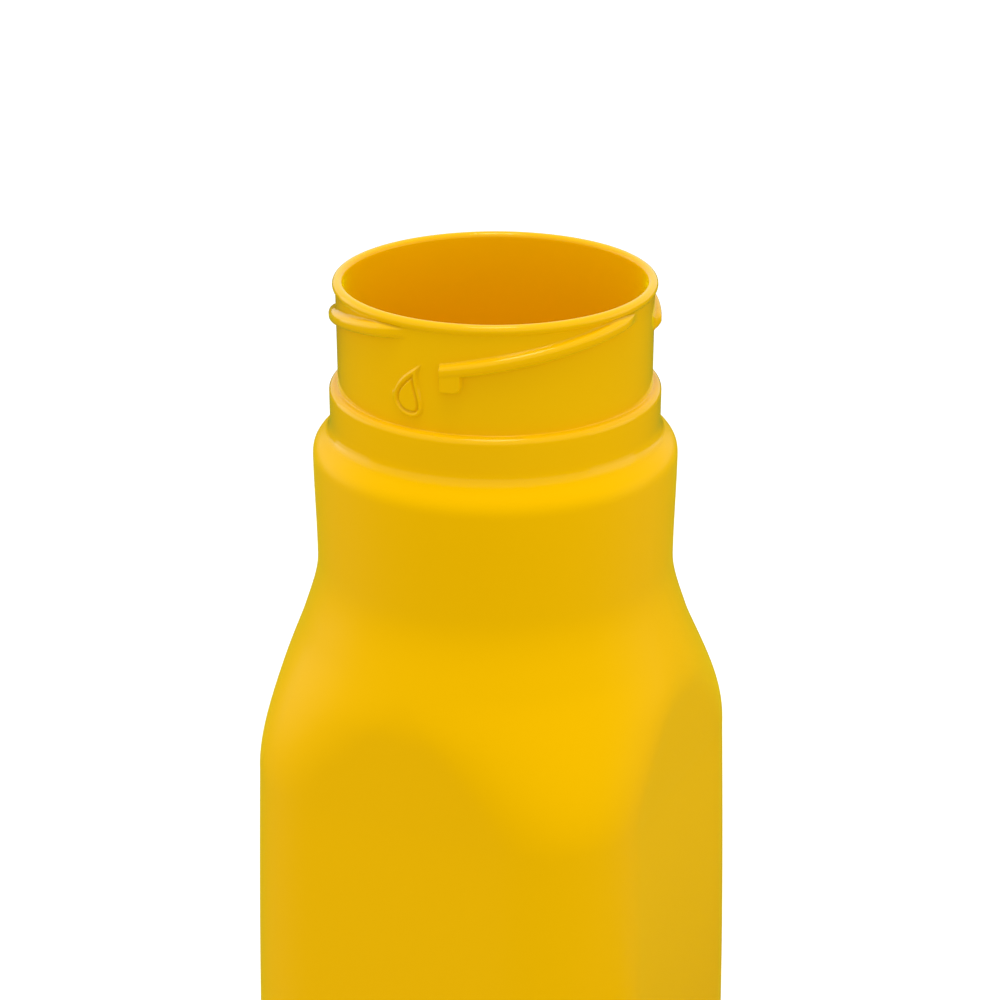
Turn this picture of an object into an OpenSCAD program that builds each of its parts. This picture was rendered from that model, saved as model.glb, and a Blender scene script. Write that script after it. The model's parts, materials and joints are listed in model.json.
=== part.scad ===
// Water bottle with a square shouldered body and a round screw neck, and its
// push-pull drinking lid standing beside it.
// The origin is on the bottle's axis, on the surface that both stand on.

/* [Bottle] */
// Height of the bottle's rim above the surface
bottle_h = 185; // [170:1:220]
// Outside radius of the neck wall that carries the thread
neck_r = 24.5; // [24.3:0.1:24.7]
// Radius of the mouth
mouth_r = 23.3; // [23:0.1:23.4]
// Outside radius of the rounded lip
lip_r = 24.95; // [24.8:0.05:25.1]
// Thickness of the body wall
wall = 1.4; // [1.2:0.1:2]
// Half the body's width at the end of the shoulder
shoulder_w = 33; // [32:0.5:34]
// Radius of the body's upright edges at the end of the shoulder
edge_r = 16.4; // [14:0.1:18]
// How much each side swells out from the shoulder down to the base
swell = 1.9; // [0:0.1:2.4]
// Height of the hollow under the base
push_up = 3; // [2:0.5:5]

/* [Neck] */
// Depth of the collar's top below the rim
collar_depth = 16.95; // [16:0.05:18]
// Radius of the collar under the thread
collar_r = 25.9; // [25.7:0.1:26]
// Depth of the collar's foot below the rim
step_depth = 24; // [23.6:0.1:25]
// Radius of the waist below the collar
waist_r = 28.5; // [28:0.1:29]

/* [Thread] */
// Number of thread starts
starts = 4; // [2:2:4]
// Radius of the thread crest
crest_r = 25.6; // [25.2:0.1:25.8]
// Depth of the thread's low end below the rim
thread_low = 7.4; // [7:0.1:8]
// Depth of the thread's high end below the rim
thread_high = 1.9; // [1.7:0.1:2.2]
// Direction of the first stop lug's outer edge, from +X
lug_angle = -83; // [-95:1:-75]

/* [Lid] */
// Distance from the bottle's axis to the lid's axis
lid_x = 80; // [76:1:120]
// Depth of the space inside the skirt
lid_depth = 25; // [24.8:0.1:26]
// Inside radius of the skirt
skirt_r = 26.3; // [26.2:0.1:26.6]
// Travel of the drinking nozzle
nozzle_travel = 5; // [3:0.5:6]
// Number of grip flutes round the lid
flutes = 40; // [24:4:48]

/* [Hidden] */
$fn = 72;

// --- bottle levels, measured down from the rim
seam_depth = 42;        // where the lofted body takes over from the round neck
flare_depth = 45.5;     // the shoulder starts to leave the waist
face_depth = 65;        // the flat sides reach their width
corner_depth = 81;      // the upright edges reach their width
swell_reach = 80;       // height over which the sides swell
foot_r = 6;             // rounding of the base edge
foot_w = 6;             // width of the flat ring that the bottle stands on
sides = 64;             // points round each ring of the body

function ease(t) = let (u = min(max(t, 0), 1)) u * u * (3 - 2 * u);
function swell_at(depth) = swell * sin(90 * min(max((depth - corner_depth) / swell_reach, 0), 1));

// Half width across the flats, and distance to the rounded corner, at a depth below the rim
edge_d = (shoulder_w - edge_r) * sqrt(2) + edge_r;
function half_w(depth) = waist_r + (shoulder_w - waist_r)
    * ease((depth - flare_depth) / (face_depth - flare_depth)) + swell_at(depth);
function corner_d(depth) = waist_r + (edge_d - waist_r)
    * ease((depth - flare_depth) / (corner_depth - flare_depth)) + 1.2 * swell_at(depth);
function edge_at(depth) = (sqrt(2) * half_w(depth) - corner_d(depth)) / (sqrt(2) - 1);

// Distance from the axis to a rounded square of half width w and edge radius r, in direction a
function square_d(w, r, a) =
    let (q = abs((a + 45) % 90 - 45), e = w - r)
    tan(q) * w <= e ? w / cos(q)
        : e * (cos(q) + sin(q)) + sqrt(r * r - e * e * (1 - sin(2 * q)));

// One ring of the body, its outline drawn in by inset and scaled by k
function ring(depth, inset, z, k = 1) =
    let (w = half_w(depth) - inset, r = min(max(edge_at(depth) - inset, 1.5), w))
    [for (i = [0:sides - 1])
        let (a = 360 * i / sides, d = k * square_d(w, r, a)) [d * cos(a), d * sin(a), z]];

base_depth = bottle_h - foot_r;
body_depths = concat([seam_depth],
    [for (i = [0:12]) flare_depth + (corner_depth - flare_depth) * i / 12],
    [for (i = [1:5]) corner_depth + (base_depth - corner_depth) * i / 5]);
floor_t = 1.8;
inner_foot = foot_r - wall;
levels = len(body_depths) - 1;

// Rings from the middle of the base, up the outside, over the top and down the inside
body_rings = concat(
    [for (k = [0.25, 0.5, 0.75]) ring(base_depth, foot_r + foot_w, push_up * sin(90 * (1 - k) / 0.75), k)],
    [for (inset = [foot_r + foot_w, foot_r]) ring(base_depth, inset, 0)],
    [for (a = [22.5:22.5:67.5]) ring(base_depth, foot_r * (1 - sin(a)), foot_r * (1 - cos(a)))],
    [for (i = [levels:-1:0]) ring(body_depths[i], 0, bottle_h - body_depths[i])],
    [for (i = [0:levels]) ring(body_depths[i], wall, bottle_h - body_depths[i])],
    [for (a = [60:-30:0]) ring(base_depth, wall + inner_foot * (1 - sin(a)),
        foot_r - inner_foot * cos(a))],
    [for (k = [0.75, 0.5, 0.25]) ring(base_depth, foot_r + foot_w,
        floor_t + push_up * sin(90 * (1 - k) / 0.75), k)]);

// Closes a stack of rings with a point below and a point above them
module stacked(rings, first, last) {
    n = len(rings[0]);
    m = len(rings);
    points = concat([first], [for (r = rings) each r], [last]);
    end = n * m + 1;
    faces = concat(
        [for (i = [0:n - 1]) [0, 1 + i, 1 + (i + 1) % n]],
        [for (j = [0:m - 2], i = [0:n - 1])
            [1 + j * n + i, 1 + (j + 1) * n + i, 1 + (j + 1) * n + (i + 1) % n]],
        [for (j = [0:m - 2], i = [0:n - 1])
            [1 + j * n + i, 1 + (j + 1) * n + (i + 1) % n, 1 + j * n + (i + 1) % n]],
        [for (i = [0:n - 1]) [end, 1 + (m - 1) * n + (i + 1) % n, 1 + (m - 1) * n + i]]);
    polyhedron(points, faces);
}

module body_shell() {
    stacked(body_rings, [0, 0, push_up], [0, 0, push_up + floor_t]);
}

// Round neck from the lip down to a thinner end that is sunk in the body's top
lip_t = (lip_r - mouth_r) / 2;
bead_drop = 6;
sunk = 1;
slip = 0.08;
module neck() {
    outer = waist_r - slip;
    inner = waist_r - wall + slip;
    lip = [for (a = [180:-15:-60]) [lip_r - lip_t + lip_t * cos(a), -lip_t + lip_t * sin(a)]];
    collar = [for (a = [90:-18:0]) [collar_r - 1 + cos(a), -collar_depth - 1 + sin(a)]];
    bead = [for (a = [0:15:90]) [collar_r + (waist_r + 0.2 - collar_r) * sin(a),
        -step_depth - bead_drop * (1 - cos(a))]];
    inside = [for (a = [90:-15:0]) [mouth_r + (inner - mouth_r) * sin(a),
        -step_depth + 2 - bead_drop * (1 - cos(a))]];
    translate([0, 0, bottle_h])
        rotate_extrude()
        polygon(concat(lip, [[neck_r, -2], [neck_r, -collar_depth]], collar, bead,
            [[outer, -seam_depth + 3], [outer, -seam_depth - sunk], [inner, -seam_depth - sunk]], inside));
}

// A ridge that climbs round the axis between two heights, faster at its low end.
// start and finish are the shares of its full height that it has at its two ends.
function climb(t) = 1.2 * t - 0.2 * t * t;
module ridge(from, turn, low, high, root, crest, width, start, finish) {
    steps = 20;
    h = width / 2;
    flip = crest > root ? -1 : 1;
    rings = [for (i = [0:steps])
        let (t = i / steps, a = from + turn * t, z = low + (high - low) * climb(t),
             top = root + (crest - root) * min(1, start + 8 * t, finish + 6 * (1 - t)))
        [for (p = [[root, -h * 1.15], [root + (top - root) * 0.75, -h * 0.8], [top, -h * 0.3],
                   [top, h * 0.3], [root + (top - root) * 0.75, h * 0.8], [root, h * 1.15]])
            [p[0] * cos(a), p[0] * sin(a), z + p[1] * flip]]];
    n = 6;
    faces = concat([[for (i = [0:n - 1]) i]],
        [for (j = [0:steps - 1], i = [0:n - 1]) [j * n + i, (j + 1) * n + i, (j + 1) * n + (i + 1) % n]],
        [for (j = [0:steps - 1], i = [0:n - 1]) [j * n + i, (j + 1) * n + (i + 1) % n, j * n + (i + 1) % n]],
        [[for (i = [n - 1:-1:0]) steps * n + i]]);
    polyhedron([for (r = rings) each r], faces);
}

// A block on the neck wall, from one direction to another and between two depths
module lug(from, to, top, bottom, corner) {
    mid = (from + to) / 2;
    half = neck_r * sin((to - from) / 2);
    intersection() {
        rotate([0, 0, mid]) translate([neck_r - bite - 0.2, 0, 0]) rotate([90, 0, 90])
            linear_extrude(3) union() {
                translate([-half, bottom]) square([2 * half - corner, top - bottom]);
                translate([-half, bottom + corner]) square([2 * half, top - bottom - corner]);
                translate([half - corner, bottom + corner]) circle(corner, $fn = 32);
            }
        translate([0, 0, bottom - 1]) cylinder(h = top - bottom + 2, r = crest_r - 0.1);
    }
}

// Drop outline, tip up and leaning to one side; w wide and h tall, point of measure at its belly
function drop(w, h, lean) = [for (i = [0:35])
    let (a = 10 * i, u = (1 + cos(a)) / 2,
         x = w * 0.62 * sin(a) * pow(sin(a / 2), 1.6), y = h * (u - 0.35))
    [x + lean * pow(u, 2.2) - lean * 0.25 * sin(180 * u), y]];
module drop_mark(w, h, t) {
    linear_extrude(t) difference() {
        polygon(drop(w, h, 1.5));
        translate([0, h * 0.01]) polygon(drop(w * 0.8, h * 0.82, 1.2));
    }
    linear_extrude(t) translate([0, h * 0.01]) polygon(drop(w * 0.68, h * 0.7, 1));
}

// Every second ridge starts at a stop lug, and the others start plain, a little further round
lug_span = 7.5;
plain_start = 9;
thread_turn = 79;
ridge_w = 2.2;
bite = 0.5;              // how far a raised feature is rooted in the neck wall
module thread() {
    for (k = [0:starts - 1]) {
        lugged = k % 2 == 0;
        skip = lugged ? 1.5 : plain_start;
        from = lug_angle + 360 * k / starts;
        low = bottle_h - thread_low + 0.1 * skip;
        ridge(from + skip, thread_turn - skip, low, bottle_h - thread_high,
            neck_r - bite, crest_r, ridge_w, lugged ? 1 : 0.5, 0.5);
        if (lugged)
            lug(from, from + lug_span, low + 0.8, low - 3, 1.2);
    }
}

module screw_neck() {
    union() {
        neck();
        thread();
        rotate([0, 0, lug_angle - 11.2]) translate([neck_r - bite, 0, bottle_h - 12.1])
            rotate([90, 0, 90]) drop_mark(4.7, 8.5, bite + 0.35);
    }
}

module bottle_shell() {
    color("gold") {
        body_shell();
        screw_neck();
    }
}

// --- lid levels, measured up from the surface that its skirt stands on
deck_t = 2;
deck_z = lid_depth + deck_t;
skirt_t = 1.9;
seat_r = 10.5;           // hole in the deck for the spout insert
hinge_x = 24;            // hinge axis, from the lid's axis
hinge_z = deck_z + 2.6;
pin_r = 1.2;
pin_l = 14;
knuckle_r = 2.5;
knuckle_w = 6;
vent_x = -17;
stem_r = 1.1;
gap = 0.3;

module on_lid() {
    translate([lid_x, 0, 0]) children();
}

// A rod along Y through the hinge axis
module hinge_rod(r, l) {
    translate([hinge_x, 0, hinge_z]) rotate([90, 0, 0]) cylinder(h = l, r = r, center = true);
}

module lid_cap() {
    color("gold") on_lid() {
        difference() {
            rotate_extrude() cap_outline();
            vent_holes();
        }
        for (k = [0:starts - 1])
            ridge(360 * k / starts, 62, lid_depth - 12.2, lid_depth - 7, skirt_r + bite, 25.05, 2, 0.5, 0.5);
        hinge_ears();
        deck_mark();
    }
}

module cap_outline() {
    difference() {
        union() {
            square([skirt_r + skirt_t - 2, deck_z]);
            square([skirt_r + skirt_t, deck_z - 2]);
            translate([skirt_r + skirt_t - 2, deck_z - 2]) circle(2, $fn = 48);
            square([skirt_r + skirt_t + 0.6, 2.4]);
            translate([0, lid_depth - 4.4]) square([skirt_r + skirt_t + 0.9, 1.4]);
        }
        translate([0, -1]) square([skirt_r, lid_depth + 1]);
        square([seat_r, deck_z + 1]);
    }
}

// Hole for the valve's stem, and the two air holes that its rim covers
module vent_holes() {
    translate([vent_x, 0, lid_depth - 1]) cylinder(h = deck_t + 2, r = stem_r + 0.05, $fn = 32);
    for (s = [-1, 1])
        translate([vent_x, 2.4 * s, lid_depth - 1]) cylinder(h = deck_t + 2, r = 0.6, $fn = 24);
}

module hinge_ears() {
    ear_w = (pin_l - knuckle_w - 2 * gap) / 2;
    for (s = [-1, 1])
        difference() {
            translate([0, s * (knuckle_w / 2 + gap + ear_w / 2), 0]) union() {
                hinge_rod(knuckle_r, ear_w);
                translate([hinge_x - knuckle_r, -ear_w / 2, deck_z - 0.5])
                    cube([2 * knuckle_r, ear_w, hinge_z - deck_z + 0.5]);
            }
            hinge_rod(pin_r + 0.02, pin_l + 4);
        }
}

module deck_mark() {
    translate([0, -20.3, deck_z - 0.3]) rotate([0, 0, 180]) drop_mark(4.7, 8.5, 0.8);
}

// Tower that the nozzle slides on, with the plug that closes it held on three ribs
tower_r = 9;
tower_top = deck_z + 12;
tower_bore = 6.2;
plug_r = 2.5;
plug_top = deck_z + 18.5;
ring_groove_z = tower_top - 4;
module spout_insert() {
    color("dimgray") on_lid() {
        rotate_extrude() difference() {
            union() {
                translate([0, deck_z]) square([12.4, 1.4]);
                translate([0, lid_depth - 1.5]) square([seat_r - 0.05, deck_t + 1.5]);
                translate([0, lid_depth - 1.5]) square([seat_r + 0.5, 1.45]);
                translate([0, deck_z]) square([tower_r, tower_top - deck_z]);
            }
            translate([0, lid_depth - 2]) square([tower_bore, 40]);
            translate([tower_r - 1.45, ring_groove_z - 0.85]) square([2, 1.7]);
        }
        difference() {
            translate([0, 0, tower_top - 5]) cylinder(h = plug_top - tower_top + 5, r = plug_r);
            translate([0, 0, plug_top - 1]) cylinder(h = 2, r = 1.1);
        }
        for (k = [0:2]) rotate([0, 0, 120 * k])
            translate([plug_r - 0.4, -0.7, tower_top - 5]) cube([tower_bore - plug_r + 0.8, 1.4, 3]);
    }
}

module grip_band() {
    band_r = skirt_r + skirt_t;
    low = 2.6;
    high = lid_depth - 4.5;
    color("dimgray") on_lid() difference() {
        translate([0, 0, low]) cylinder(h = high - low, r = band_r + 1.2);
        translate([0, 0, low - 1]) cylinder(h = high - low + 2, r = band_r);
        for (k = [0:flutes - 1]) rotate([0, 0, 360 * k / flutes])
            translate([band_r + 2, 0, low + 1.6]) cylinder(h = high - low - 3.2, r = 1.2, $fn = 24);
    }
}

module rim_gasket() {
    color("whitesmoke") on_lid() rotate_extrude()
        translate([22.6, lid_depth - 1.5]) square([skirt_r - 0.05 - 22.6, 1.5]);
}

// Umbrella valve that lets air in behind the water
module vent_valve() {
    color("whitesmoke") on_lid() translate([vent_x, 0, 0]) {
        translate([0, 0, lid_depth - 1.2]) cylinder(h = 1.2, r = 3.6);
        translate([0, 0, lid_depth - 1]) cylinder(h = deck_t + 0.8, r = stem_r);
    }
}

nozzle_low = deck_z + 1.8;
nozzle_top = plug_top - 2.5;
module nozzle_body() {
    color("whitesmoke") on_lid() rotate_extrude() difference() {
        union() {
            translate([0, nozzle_low]) square([11, nozzle_top - nozzle_low]);
            translate([0, nozzle_low]) square([11.9, 1.6]);
            translate([0, nozzle_top - 3]) square([12.2, 2]);
        }
        translate([0, nozzle_low - 1]) square([tower_r + 0.25, tower_top + 0.6 - nozzle_low + 1]);
        translate([0, tower_top]) square([plug_r + 0.6, 10]);
        translate([8.2, nozzle_top - 0.9]) square([1.2, 2]);
    }
}

// Soft mouthpiece, keyed into a groove in the nozzle's top
module mouth_tip() {
    r = 9.8;
    color("dimgray") on_lid() rotate_extrude() difference() {
        union() {
            translate([0, nozzle_top]) square([r - 2.6, 5.2]);
            translate([0, nozzle_top]) square([r, 2.6]);
            translate([r - 2.6, nozzle_top + 2.6]) circle(2.6, $fn = 48);
            translate([8.25, nozzle_top - 0.85]) square([1.1, 1]);
        }
        translate([-1, nozzle_top - 3]) square([plug_r + 1.06, 12]);
        translate([0, nozzle_top - 3]) square([8, 3]);
        translate([r, nozzle_top - 3]) square([3, 3]);
    }
}

module nozzle_seal() {
    color("black") on_lid() translate([0, 0, ring_groove_z])
        rotate_extrude() translate([tower_r - 0.62, 0]) circle(0.8, $fn = 32);
}

// Clear cover over the nozzle, on an arm that turns about the hinge pin
cover_r = 16;
cover_top = nozzle_top + 12;
module dust_cap() {
    low = deck_z + 0.2;
    t = 1.2;
    color("lightgray", 0.6) on_lid() {
        rotate_extrude() difference() {
            union() {
                translate([0, low]) square([cover_r, cover_top - low - 4]);
                translate([0, low]) square([cover_r - 4, cover_top - low]);
                translate([cover_r - 4, cover_top - 4]) circle(4, $fn = 48);
                translate([0, low]) square([cover_r + 0.8, 1.6]);
            }
            translate([-1, low - 1]) square([cover_r - t + 1, cover_top - low - 4 + 1]);
            translate([-1, low - 1]) square([cover_r - 4 + 1, cover_top - low - t + 1]);
            translate([cover_r - 4, cover_top - 4]) circle(4 - t, $fn = 48);
        }
        difference() {
            union() {
                hinge_rod(knuckle_r - 0.1, knuckle_w);
                translate([cover_r - 0.6, -knuckle_w / 2, deck_z + 0.5])
                    cube([hinge_x - cover_r + 0.6, knuckle_w, 2.6]);
            }
            hinge_rod(pin_r + 0.06, knuckle_w + 2);
        }
        translate([-cover_r - 3.4, -4, low]) cube([4, 8, 1.6]);
    }
}

module hinge_pin() {
    color("silver") on_lid() hinge_rod(pin_r, pin_l);
}

bottle_shell();
lid_cap();
spout_insert();
grip_band();
rim_gasket();
vent_valve();
nozzle_body();
mouth_tip();
nozzle_seal();
dust_cap();
hinge_pin();
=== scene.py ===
"""Water bottle with a square shouldered body, and its push-pull drinking lid standing beside it.

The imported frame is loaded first. Each operator then makes one piece round it, or one group of like
pieces, and the last one makes the stage.
"""

import json
import math

import bmesh
import bpy
import numpy as np
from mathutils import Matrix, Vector


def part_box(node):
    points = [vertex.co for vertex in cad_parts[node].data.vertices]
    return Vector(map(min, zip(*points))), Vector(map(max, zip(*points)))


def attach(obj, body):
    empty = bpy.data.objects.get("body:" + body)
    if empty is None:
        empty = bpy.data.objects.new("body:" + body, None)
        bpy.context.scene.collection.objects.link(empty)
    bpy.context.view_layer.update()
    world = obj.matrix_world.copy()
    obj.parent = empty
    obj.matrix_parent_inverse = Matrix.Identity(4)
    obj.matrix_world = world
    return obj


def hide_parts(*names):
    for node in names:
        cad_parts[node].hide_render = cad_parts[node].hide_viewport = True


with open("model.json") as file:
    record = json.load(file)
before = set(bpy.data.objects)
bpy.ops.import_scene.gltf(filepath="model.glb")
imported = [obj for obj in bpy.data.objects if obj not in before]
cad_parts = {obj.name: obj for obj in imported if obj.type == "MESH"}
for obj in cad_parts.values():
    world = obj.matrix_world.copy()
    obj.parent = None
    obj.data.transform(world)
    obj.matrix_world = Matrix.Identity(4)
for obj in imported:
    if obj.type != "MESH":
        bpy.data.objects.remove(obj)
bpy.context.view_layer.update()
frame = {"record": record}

bl_info = {
    "name": "Drinking bottle",
    "version": (1, 0, 0),
    "blender": (4, 5, 0),
    "location": "View3D > Sidebar > Bottle",
    "description": "Makes a moulded drinking bottle and its push-pull lid round a fixed frame",
    "category": "Add Mesh",
}

MM = 0.001
MOUNTS = {m["name"]: m for m in frame["record"]["mounts"]}
BOTTLE_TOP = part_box("bottle_shell")[1].z
BAND_LOW, BAND_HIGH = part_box("grip_band")
GASKET_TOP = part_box("rim_gasket")[1]
LID_X = (BAND_LOW.x + BAND_HIGH.x) / 2


# ---------------------------------------------------------------- settings


def length(name, default, description):
    """A length in metres."""
    return bpy.props.FloatProperty(
        name=name, default=default, description=description, min=0.0, unit="LENGTH"
    )


def colour(name, default, description):
    """A colour without alpha."""
    return bpy.props.FloatVectorProperty(
        name=name, default=default, description=description, subtype="COLOR", size=3, min=0.0, max=1.0
    )


def angle(name, degrees, description):
    """An angle, given in degrees and kept in radians."""
    return bpy.props.FloatProperty(
        name=name, default=math.radians(degrees), description=description, subtype="ANGLE", unit="ROTATION"
    )


def number(name, default, low, description):
    """A whole number with a lower limit."""
    return bpy.props.IntProperty(name=name, default=default, description=description, min=low)


def strength(name, default, description):
    """A plain strength that is never negative."""
    return bpy.props.FloatProperty(name=name, default=default, description=description, min=0.0)


def power(name, default, description):
    """The power of a lamp in watts."""
    return bpy.props.FloatProperty(
        name=name, default=default, description=description, min=0.0, subtype="POWER", unit="POWER"
    )


class BottleSizes(bpy.types.PropertyGroup):
    """Sizes of the bottle."""

    height: length("Height", BOTTLE_TOP, "Height of the rim above the surface")
    neck_r: length("Neck radius", 0.0245, "Outside radius of the wall that carries the thread")
    mouth_r: length("Mouth radius", MOUNTS["MOUTH"]["dims"]["r_mm"] * MM, "Radius of the mouth")
    lip_r: length("Lip radius", 0.02495, "Outside radius of the rounded lip")
    collar_r: length("Collar radius", 0.0259, "Radius of the collar")
    collar_depth: length("Collar depth", 0.01695, "Depth of the collar's top below the rim")
    step_depth: length("Step depth", 0.024, "Depth of the collar's foot below the rim")
    waist_r: length("Waist radius", 0.0285, "Radius of the waist below the collar")
    shoulder_w: length("Shoulder half width", 0.033, "Half width across the flats at the shoulder")
    edge_r: length("Edge radius", 0.0164, "Radius of the upright edges at the shoulder")
    swell: length("Swell", 0.0019, "How much each side swells out towards the base")
    wall: length("Wall", 0.0014, "Thickness of the wall")
    foot_r: length("Foot radius", 0.006, "Rounding of the base edge")
    push_up: length("Push-up", 0.003, "Height of the hollow under the base")


class ThreadSizes(bpy.types.PropertyGroup):
    """Sizes of the thread, the stop lugs and the drop mark."""

    starts: number("Starts", 4, 2, "Number of thread starts")
    crest_r: length("Crest radius", 0.0256, "Radius of the thread's crest")
    low: length("Low end", 0.0074, "Depth of a ridge's low end below the rim")
    high: length("High end", 0.0019, "Depth of a ridge's high end below the rim")
    width: length("Ridge width", 0.0023, "Width of a ridge at its root")
    lug_angle: angle("Lug direction", -83, "Direction of the first stop lug's outer edge")
    lug_span: angle("Lug span", 7.5, "How far a stop lug reaches round the neck")
    turn: angle("Turn", 79, "From the lug's outer edge to the ridge's high end")
    mark_w: length("Mark width", 0.0058, "Width of the raised drop mark")
    mark_h: length("Mark height", 0.0085, "Height of the raised drop mark")


class LidSizes(bpy.types.PropertyGroup):
    """Sizes of the lid."""

    axis_x: length("Axis", LID_X, "Distance of the lid's axis from the bottle's")
    skirt_r: length("Skirt radius", GASKET_TOP.x - LID_X + 0.05 * MM, "Inside radius of the skirt")
    depth: length("Depth", GASKET_TOP.z, "Depth of the space inside the skirt")
    deck: length("Deck", 0.002, "Thickness of the deck")
    flutes: number("Flutes", 40, 12, "Flutes round the band")


class Finishes(bpy.types.PropertyGroup):
    """Colours of the pieces."""

    yellow: colour("Yellow", (0.95, 0.525, 0.0), "Moulded yellow of the bottle and the cap")
    deep_yellow: colour("Deep yellow", (0.94, 0.51, 0.0), "Yellow where the pigment runs deeper")
    grey: colour("Grey", (0.045, 0.048, 0.052), "Dark grey of the spout, the band and the mouthpiece")
    white: colour("White", (0.74, 0.73, 0.69), "White of the nozzle")
    milk: colour("Milk", (0.72, 0.73, 0.70), "Milky silicone of the gasket and the valve")
    smoke: colour("Smoke", (0.95, 0.97, 0.98), "Tint of the clear cover")
    steel: colour("Steel", (0.58, 0.58, 0.57), "Drawn wire of the hinge pin")


class StageSettings(bpy.types.PropertyGroup):
    """Where the camera stands, the floor and the light."""

    direction: angle("Direction", -64, "Where the camera stands round the bottle, from +X")
    pitch: angle("Pitch", 22.97, "How far down the camera looks")
    yaw: angle("Yaw", 0.13, "How far to the right of the bottle's axis the camera looks")
    distance: length("Distance", 0.32486, "Level distance from the bottle's axis to the camera")
    above: length("Height over the rim", 0.10034, "Height of the camera over the rim")
    lens: bpy.props.FloatProperty(
        name="Lens", default=79.6, description="Focal length", min=1.0, unit="CAMERA"
    )
    floor: colour("Floor", (0.72, 0.72, 0.72), "Plain floor")
    glow: strength("Glow", 0.5, "Extra light of the floor in view")
    sky: strength("Sky", 0.84, "Strength of the even light")
    inside: power("Inside light", 0.009, "Light that the thin wall lets through into the bottle")
    sides: power("Side light", 0.75, "Power of each soft light at the sides")
    top: power("Top light", 1.35, "Power of the soft light overhead")


def settings(group):
    """One of the groups of sizes and colours on the scene."""
    return getattr(bpy.context.scene, "bottle_" + group)


def in_mm(group, *names):
    """Lengths of a group in millimetres."""
    values = settings(group)
    return [getattr(values, name) / MM for name in names]


# ---------------------------------------------------------------- materials

PLASTIC_IOR = 1.49


def grain_group():
    """Moulded grain: a fine even texture, a slow drift of the pigment and sparse rub marks."""
    name = "moulded_grain"
    if name in bpy.data.node_groups:
        return bpy.data.node_groups[name]
    tree = bpy.data.node_groups.new(name, "ShaderNodeTree")
    face = tree.interface
    for label, value in (("Grain Scale", 900.0), ("Drift Scale", 18.0), ("Rub Scale", 60.0)):
        socket = face.new_socket(label, in_out="INPUT", socket_type="NodeSocketFloat")
        socket.default_value = value
    for label in ("Height", "Drift", "Rub"):
        face.new_socket(label, in_out="OUTPUT", socket_type="NodeSocketFloat")
    nodes, links = tree.nodes, tree.links
    gin, gout = nodes.new("NodeGroupInput"), nodes.new("NodeGroupOutput")
    place = nodes.new("ShaderNodeTexCoord")

    def noise(scale, detail, roughness):
        node = nodes.new("ShaderNodeTexNoise")
        node.inputs["Detail"].default_value = detail
        node.inputs["Roughness"].default_value = roughness
        links.new(place.outputs["Object"], node.inputs["Vector"])
        links.new(gin.outputs[scale], node.inputs["Scale"])
        return node

    grain = noise("Grain Scale", 2.0, 0.6)
    drift = noise("Drift Scale", 3.0, 0.5)
    rub = noise("Rub Scale", 6.0, 0.75)
    ramp = nodes.new("ShaderNodeMapRange")
    ramp.inputs["From Min"].default_value = 0.62
    ramp.inputs["From Max"].default_value = 0.78
    links.new(rub.outputs["Fac"], ramp.inputs["Value"])
    links.new(grain.outputs["Fac"], gout.inputs["Height"])
    links.new(drift.outputs["Fac"], gout.inputs["Drift"])
    links.new(ramp.outputs["Result"], gout.inputs["Rub"])
    return tree


def new_material(name):
    """A material with only a shader and its output."""
    material = bpy.data.materials.new(name)
    material.use_nodes = True
    nodes = material.node_tree.nodes
    nodes.clear()
    out = nodes.new("ShaderNodeOutputMaterial")
    shader = nodes.new("ShaderNodeBsdfPrincipled")
    material.node_tree.links.new(shader.outputs["BSDF"], out.inputs["Surface"])
    return material, nodes, material.node_tree.links, shader


def set_values(shader, **values):
    """Sets plain values on the shader's own sockets, such as coat_ior for Coat IOR."""
    for socket in shader.inputs:
        key = socket.name.lower().replace(" ", "_")
        if key in values:
            socket.default_value = values.pop(key)
    if values:
        raise ValueError("no such sockets: " + ", ".join(values))


def grained(name, light, deep, rough, rough_spread, bump, scales=(900.0, 18.0, 60.0)):
    """A moulded surface whose colour drifts between two near tones and whose gloss varies a little."""
    material, nodes, links, shader = new_material(name)
    group = nodes.new("ShaderNodeGroup")
    group.node_tree = grain_group()
    for socket, value in zip(("Grain Scale", "Drift Scale", "Rub Scale"), scales):
        group.inputs[socket].default_value = value
    mix = nodes.new("ShaderNodeMix")
    mix.data_type = "RGBA"
    mix.inputs["A"].default_value = (*deep, 1.0)
    mix.inputs["B"].default_value = (*light, 1.0)
    links.new(group.outputs["Drift"], mix.inputs["Factor"])
    links.new(mix.outputs["Result"], shader.inputs["Base Color"])
    gloss = nodes.new("ShaderNodeMapRange")
    gloss.inputs["To Min"].default_value = rough
    gloss.inputs["To Max"].default_value = rough + rough_spread
    links.new(group.outputs["Rub"], gloss.inputs["Value"])
    links.new(gloss.outputs["Result"], shader.inputs["Roughness"])
    relief = nodes.new("ShaderNodeBump")
    relief.inputs["Strength"].default_value = bump
    relief.inputs["Distance"].default_value = 0.02 * MM
    links.new(group.outputs["Height"], relief.inputs["Height"])
    links.new(relief.outputs["Normal"], shader.inputs["Normal"])
    return material, shader


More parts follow.
